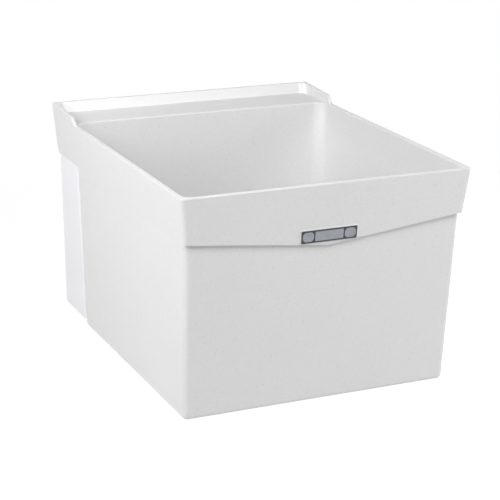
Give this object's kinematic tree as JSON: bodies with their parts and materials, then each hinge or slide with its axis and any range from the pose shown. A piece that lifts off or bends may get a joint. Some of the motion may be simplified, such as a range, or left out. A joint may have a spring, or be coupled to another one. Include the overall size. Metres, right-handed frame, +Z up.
{
  "type": "utility laundry sink",
  "caption": "Wall-hung moulded utility sink with a deep tapered basin, flared apron, rear splash and faucet ledge, on folded steel brackets, with its basket drain and stopper.",
  "frame": {"origin": "centre of the four wall bolts, on the wall's surface, at the middle of the sink's width and 190 mm above the tub's underside", "axes": "+X to the right as the user faces the sink, +Y into the wall, +Z up; the front rim is at -Y"},
  "size_m": [0.5076, 0.6099, 0.4815],
  "materials": {
    "tub_resin": "moulded white composite with a fine speckle, semi-gloss",
    "badge_dark": "smooth dark slate",
    "bracket_white": "white powder coat",
    "insert_brass": "machined",
    "zinc_steel": "zinc plated",
    "stainless": "polished stainless steel",
    "black_rubber": "matt",
    "fibre": "pressed fibre",
    "nut_metal": "die cast, zinc",
    "white_plastic": "soft"
  },
  "bodies": {
    "sink": {"tub": "tub_resin", "badge_plate": "badge_dark", "wall_bracket_left": "bracket_white", "wall_bracket_right": "bracket_white", "ledge_inserts": "insert_brass", "ledge_screws": "zinc_steel", "ledge_washers": "zinc_steel", "strainer_body": "stainless", "strainer_grid": "stainless", "grid_screw": "stainless", "flange_gasket": "black_rubber", "shank_washer": "black_rubber", "friction_ring": "fibre", "locknut": "nut_metal", "tailpiece_washer": "white_plastic", "coupling_nut": "white_plastic", "tailpiece": "white_plastic"},
    "stopper": {"stopper": "black_rubber", "stopper_eye": "stainless"},
    "ring": {"stopper_ring": "stainless"}
  },
  "joints": [
    {"name": "stopper_lift", "type": "slide", "parent": "sink", "child": "stopper", "axis": [0, 0, 1], "range_m": [0, 0.42]},
    {"name": "ring_swing", "type": "hinge", "parent": "stopper", "child": "ring", "pos_m": [0, -0.346, -0.171], "axis": [-1, 0, 0], "range_deg": [0, 208]}
  ]
}
